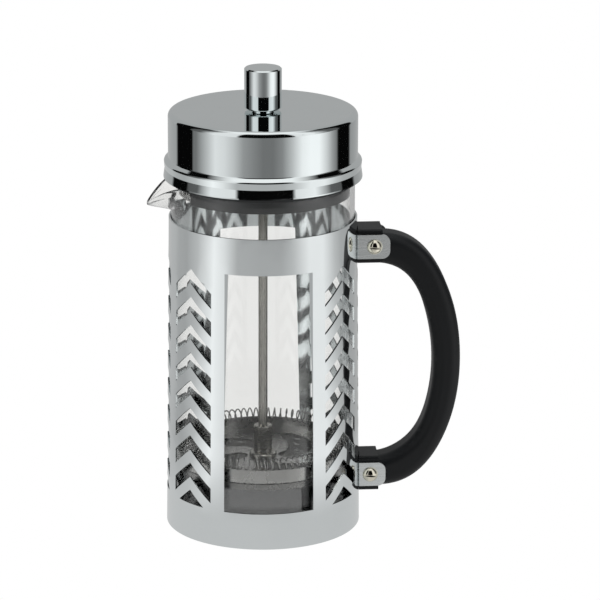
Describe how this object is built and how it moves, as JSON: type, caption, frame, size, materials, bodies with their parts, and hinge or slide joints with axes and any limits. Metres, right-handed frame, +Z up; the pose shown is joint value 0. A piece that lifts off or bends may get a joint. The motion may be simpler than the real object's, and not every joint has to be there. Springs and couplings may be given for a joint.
{
  "type": "french press",
  "caption": "French press: glass beaker with pouring spout in a pierced steel frame with a C handle, drum lid, and plunger rod with a spring-edged filter.",
  "frame": {"origin": "on the beaker's axis, at the flat underside of the base plate that the press stands on", "axes": "+Z up along the beaker's axis, +X towards the handle, -X towards the spout, -Y towards the front window"},
  "size_m": [0.1645, 0.1032, 0.2452],
  "materials": {
    "polished_steel": "polished stainless sheet",
    "lid_chrome": "mirror chrome",
    "bracket_steel": "satin steel strip",
    "nickel_screws": "warm nickel plate, polished",
    "clear_glass": "clear borosilicate",
    "black_plastic": "moulded, matte",
    "dark_plastic": "moulded, satin",
    "rod_steel": "drawn rod",
    "filter_steel": "pressed sheet",
    "spring_wire": "spring wire",
    "mesh_cloth": "fine woven wire cloth"
  },
  "bodies": {
    "frame": {"frame_sleeve": "polished_steel", "base_plate": "polished_steel", "base_cushion": "dark_plastic", "upper_handle_bracket": "bracket_steel", "lower_handle_bracket": "bracket_steel", "handle_grip": "black_plastic", "handle_screws": "nickel_screws", "handle_barrel_nuts": "nickel_screws"},
    "beaker": {"glass_beaker": "clear_glass"},
    "lid": {"lid_shell": "lid_chrome", "lid_collar": "dark_plastic", "pour_strainer": "filter_steel", "lid_bush": "lid_chrome", "bush_nut": "bracket_steel"},
    "plunger": {"plunger_knob": "lid_chrome", "plunger_rod": "rod_steel", "rod_hub": "rod_steel"},
    "filter": {"spiral_plate": "filter_steel", "coil_spring": "spring_wire", "mesh_screen": "mesh_cloth", "cross_plate": "filter_steel", "filter_nut": "bracket_steel"}
  },
  "joints": [
    {"name": "beaker_lift", "type": "slide", "parent": "frame", "child": "beaker", "axis": [0, 0, 1], "range_m": [0, 0.17]},
    {"name": "lid_lift", "type": "slide", "parent": "beaker", "child": "lid", "axis": [0, 0, 1], "range_m": [0, 0.165]},
    {"name": "plunger_slide", "type": "slide", "parent": "lid", "child": "plunger", "axis": [0, 0, 1], "range_m": [0, 0.13]},
    {"name": "filter_unscrew", "type": "hinge", "parent": "plunger", "child": "filter", "pos_m": [0, 0, 0.034], "axis": [0, 0, 1], "continuous": true}
  ]
}
